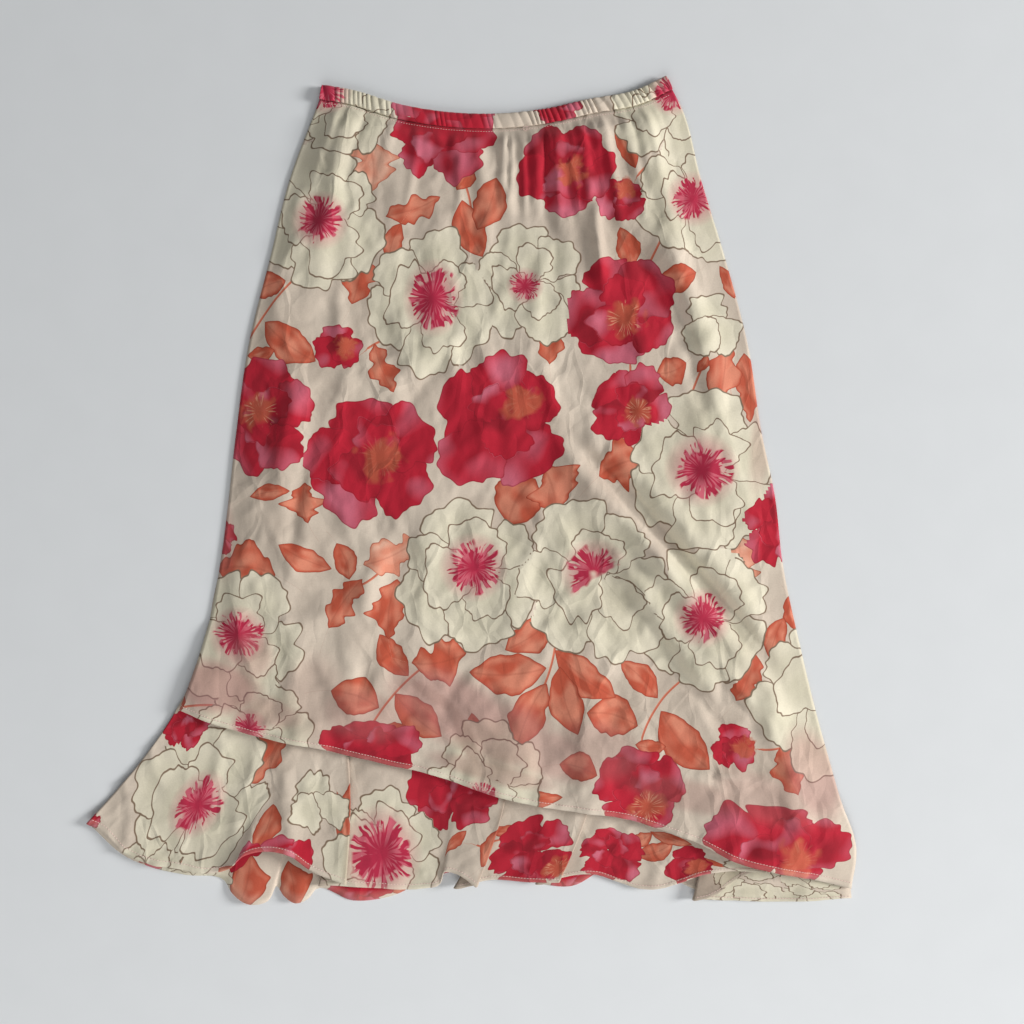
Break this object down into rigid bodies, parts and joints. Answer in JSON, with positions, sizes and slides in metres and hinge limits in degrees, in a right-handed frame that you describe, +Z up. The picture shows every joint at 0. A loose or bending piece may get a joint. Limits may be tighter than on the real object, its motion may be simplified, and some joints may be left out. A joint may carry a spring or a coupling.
{
  "type": "midi skirt",
  "caption": "Midi skirt of bias-cut chiffon with an elasticated waist, a slanting front hem and a flounce under it, laid flat on its back.",
  "frame": {"origin": "centre of the bounding box on the surface that the skirt lies on", "axes": "+Y from the hem to the waist, +X to the right of the front as seen from above, +Z up from the surface"},
  "size_m": [0.69, 0.7419, 0.0158],
  "materials": {
    "printed_chiffon": "sheer crepe chiffon with a painterly flower print, matt with a soft sheen",
    "casing_chiffon": "the same printed chiffon, turned and gathered over elastic"
  },
  "bodies": {
    "root": {"back_panel": "printed_chiffon", "back_flounce": "printed_chiffon", "front_flounce": "printed_chiffon", "front_panel": "printed_chiffon", "waist_casing_back": "casing_chiffon", "waist_casing_front": "casing_chiffon"}
  },
  "joints": []
}
